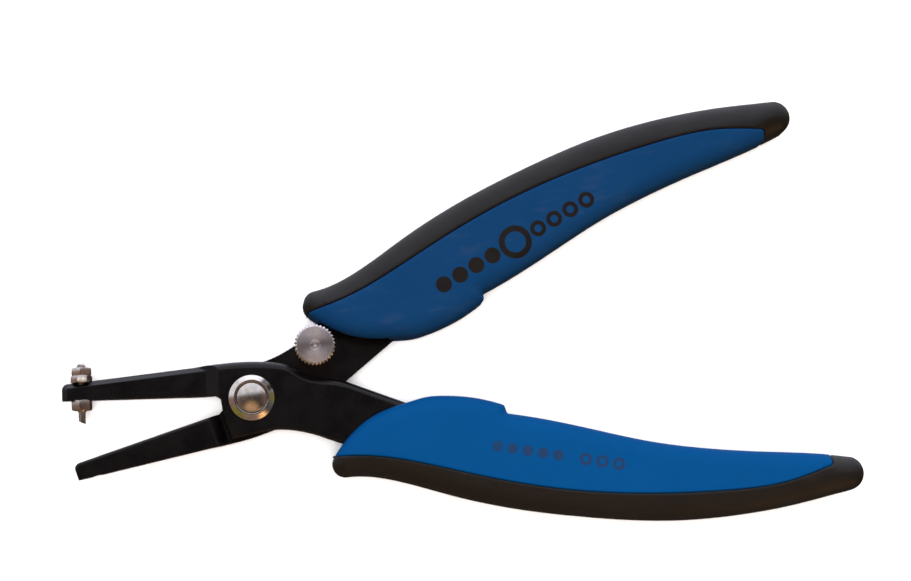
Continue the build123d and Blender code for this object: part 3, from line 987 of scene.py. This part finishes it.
def make_stop():
    """The knob with its cone, the threaded stud and the lock nut behind."""
    outline = softened(
        [
            (2.25, 3.55, 0.05),
            (4.25, 5.75, 0.04),
            (KNOB_RADIUS, 5.92, 0),
            (KNOB_RADIUS, 7.74, 0),
            (3.86, KNOB_FACE, 0.06),
            (1.12, KNOB_FACE, 0.02),
            (1.02, KNOB_FACE - 0.05, 0.02),
            (0.92, KNOB_FACE, 0.02),
            (0.28, KNOB_FACE, 0.03),
            (0, KNOB_FACE - 0.23, 0),
            (0, 7.15, 0),
            (2.06, 7.15, 0),
            (2.06, 3.55, 0),
        ],
        steps=3,
    )
    knob = turned("knurled_knob", outline, KNURL_TEETH * 8, knurl, stop_matrix())
    smooth(knob, 28)
    finish_piece(knob, TURNED, "stop_knob", "turned_steel", "stop_knob")
    rings = [(2.0, z) for z in np.arange(-5.85, 6.9, 0.07)]
    screw = turned(
        "threaded_stop_screw",
        [(0, -6.24), (1.6, -6.24)] + rings + [(1.7, 7.1), (0, 7.1)],
        64,
        thread(pitch=0.7, depth=0.38, low=-6.0, high=6.8),
        stop_matrix(),
    )
    smooth(screw, 28)
    finish_piece(screw, TURNED, "stop_screw", "turned_steel", "stop_screw")
    behind = stop_matrix(flip=True)
    turn = radians(12)
    nut = hexagon("stop_lock_nut_turned", M4_ACROSS, M4_HEIGHT, 4.1, turn, behind, PLATE_BACK)
    round_edges(nut, 0.08)
    smooth(nut, 28)
    finish_piece(nut, NICKEL, "lock_nut", "nickel_plate", "stop_lock_nut")


make_stop()

# ------------------------------------------------------------------ floor, light and camera

FLOOR_SIZE = 4.0
ROLL = radians(10.98)  # the +X axis rises to the right in the picture
IMAGE_RIGHT = Vector((cos(ROLL), -sin(ROLL), 0))
IMAGE_UP = Vector((sin(ROLL), cos(ROLL), 0))
OVERHEAD = Vector((0, 0, 1))
TARGET = Vector((47.82, 15.2, 0)) * MM
CAMERA_DISTANCE = 0.651
CAMERA_LENS = 118.4
CAMERA_SIDE, CAMERA_RISE = radians(-4.5), radians(-7.5)  # away from straight above


def make_floor():
    """A plain pale floor under the tool, which lights nothing and shows in no reflection."""
    half = FLOOR_SIZE / 2
    corners = [(-half, -half), (half, -half), (half, half), (-half, half)]
    level = cad_box[0][2]
    mesh = bpy.data.meshes.new("floor")
    mesh.from_pydata([(x, y, level) for x, y in corners], [], [(0, 1, 2, 3)])
    floor = bpy.data.objects.new("floor", mesh)
    bpy.context.scene.collection.objects.link(floor)
    mat, tree, shader = material("floor_paper")
    here = coordinates(tree)
    tone = mixed(tree, noise(tree, here, 9, detail=2), (0.92, 0.92, 0.92), (0.94, 0.94, 0.94))
    tree.links.new(tone, shader.inputs["Base Color"])
    shader.inputs["Roughness"].default_value = 0.9
    shader.inputs["Specular IOR Level"].default_value = 0.1
    mesh.materials.append(mat)
    floor.visible_glossy = False
    floor.visible_diffuse = False


def make_backdrop():
    """A white wall all round, beyond the floor's sides, that only the camera sees."""
    radius, sides, low, high = FLOOR_SIZE * 0.6, 96, cad_box[0][2] - 0.3, FLOOR_SIZE
    verts, faces = [], []
    for k in range(sides):
        a = 2 * pi * k / sides
        verts += [(radius * cos(a), radius * sin(a), z) for z in (low, high)]
        j = (k + 1) % sides
        faces.append((2 * k, 2 * j, 2 * j + 1, 2 * k + 1))
    mesh = bpy.data.meshes.new("backdrop")
    mesh.from_pydata(verts, [], faces)
    wall = bpy.data.objects.new("backdrop", mesh)
    bpy.context.scene.collection.objects.link(wall)
    mat, tree, shader = material("backdrop_paper")
    tone = mixed(tree, noise(tree, coordinates(tree), 3, detail=2), (0.94, 0.94, 0.94), (1, 1, 1))
    tree.links.new(tone, shader.inputs["Emission Color"])
    shader.inputs["Emission Strength"].default_value = 1.0
    mesh.materials.append(mat)
    wall.visible_glossy = wall.visible_diffuse = wall.visible_shadow = False


def make_world():
    """A dark, warm studio with a broad pale softbox on the far side.

    A patch is a direction, where it begins and where it is full, as cosines, and a colour.
    """
    world = bpy.data.worlds.new("studio")
    bpy.context.scene.world = world
    world.use_nodes = True
    tree = world.node_tree
    background = tree.nodes["Background"]
    where = tree.nodes.new("ShaderNodeTexCoord")

    def towards(direction, low, high):
        dot = tree.nodes.new("ShaderNodeVectorMath")
        dot.operation = "DOT_PRODUCT"
        dot.inputs[1].default_value = direction.normalized()
        tree.links.new(where.outputs["Generated"], dot.inputs[0])
        return spread(tree, dot.outputs["Value"], low, high, 0, 1)

    patches = (
        (-IMAGE_RIGHT, 0.35, 0.90, (0.26, 0.17, 0.14)),
        (-IMAGE_UP, 0.35, 0.90, (0.27, 0.19, 0.14)),
        (-IMAGE_RIGHT - IMAGE_UP + OVERHEAD * 0.3, 0.88, 0.97, (0.22, 0.20, 0.05)),
        (IMAGE_RIGHT * 0.8 + OVERHEAD * 0.6, 0.90, 0.98, (0.20, 0.12, 0.10)),
        (IMAGE_RIGHT + OVERHEAD * 0.05, 0.90, 0.98, (0.24, 0.22, 0.06)),
        (IMAGE_RIGHT * 0.75 - IMAGE_UP + OVERHEAD * 0.45, 0.955, 0.99, (2.0, 1.15, 0.50)),
        (-IMAGE_UP + OVERHEAD * 1.9, 0.90, 0.985, (0.62, 0.38, 0.20)),
        (IMAGE_UP - IMAGE_RIGHT * 0.14, 0.19, 0.36, (0.93, 0.96, 1.06)),
        (IMAGE_UP, 0.80, 0.97, (1.55, 1.60, 1.85)),
    )
    tone = (0.050, 0.036, 0.034)
    for direction, low, high, colour in patches:
        tone = mixed(tree, towards(direction, low, high), tone, colour)
    tree.links.new(tone, background.inputs["Color"])


def area_light(name, at, size, power, colour):
    """A soft panel that faces the middle of the tool."""
    light = bpy.data.lights.new(name, "AREA")
    light.shape = "RECTANGLE"
    light.size, light.size_y = size
    light.energy = power
    light.color = colour
    obj = bpy.data.objects.new(name, light)
    obj.location = at
    obj.rotation_euler = (TARGET - Vector(at)).to_track_quat("-Z", "Y").to_euler()
    bpy.context.scene.collection.objects.link(obj)
    return obj


def receivers(light, *names, shut_out=False):
    """Limits a light to the named objects, or shuts them out of it."""
    group = bpy.data.collections.new(light.name + "_receivers")
    for name in names:
        group.objects.link(bpy.data.objects[name])
    for item in group.collection_objects:
        item.light_linking.link_state = "EXCLUDE" if shut_out else "INCLUDE"
    light.light_linking.receiver_collection = group


def make_lights():
    """An overhead panel, weaker on the upper grip, a glint on one nut and a floor wash."""
    above = TARGET + OVERHEAD * 1.2
    upper = ("upper_body_moulding", "upper_spine_moulding", "upper_print")
    for name, power, shut_out in (("fill", 16.1, True), ("upper_fill", 6.4, False)):
        panel = area_light(name, above, (1.4, 1.4), power, (1.0, 0.98, 0.97))
        panel.visible_glossy = False
        receivers(panel, *upper, shut_out=shut_out)
    punch_at = punch_matrix().translation
    glint_at = punch_at + (IMAGE_RIGHT * 0.10 + IMAGE_UP * 0.10 + OVERHEAD) * 0.5
    glint = area_light("nut_glint", glint_at, (0.15, 0.15), 0.10, (1.0, 0.98, 0.96))
    receivers(glint, "punch_lock_nut_turned")
    wash = bpy.data.lights.new("floor_wash", "SUN")
    wash.energy = 2.0
    wash.angle = radians(25)
    sun = bpy.data.objects.new("floor_wash", wash)
    sun.rotation_euler = bpy.context.scene.camera.rotation_euler
    bpy.context.scene.collection.objects.link(sun)
    receivers(sun, "floor")


def make_camera():
    """The camera looks down at the tool's front, from a little left and below."""
    camera = bpy.data.cameras.new("camera")
    camera.lens = CAMERA_LENS
    camera.sensor_width = 36
    camera.clip_start = 0.01
    obj = bpy.data.objects.new("camera", camera)
    away = tan(CAMERA_SIDE) * IMAGE_RIGHT + tan(CAMERA_RISE) * IMAGE_UP + OVERHEAD
    away.normalize()
    right = IMAGE_UP.cross(away).normalized()
    up = away.cross(right)
    at = TARGET + away * CAMERA_DISTANCE
    obj.matrix_world = Matrix(
        [(*(v[k] for v in (right, up, away)), at[k]) for k in range(3)] + [(0, 0, 0, 1)]
    )
    bpy.context.scene.collection.objects.link(obj)
    bpy.context.scene.camera = obj


make_floor()
make_backdrop()
make_world()
make_camera()
make_lights()
bpy.context.scene.view_settings.view_transform = "Standard"
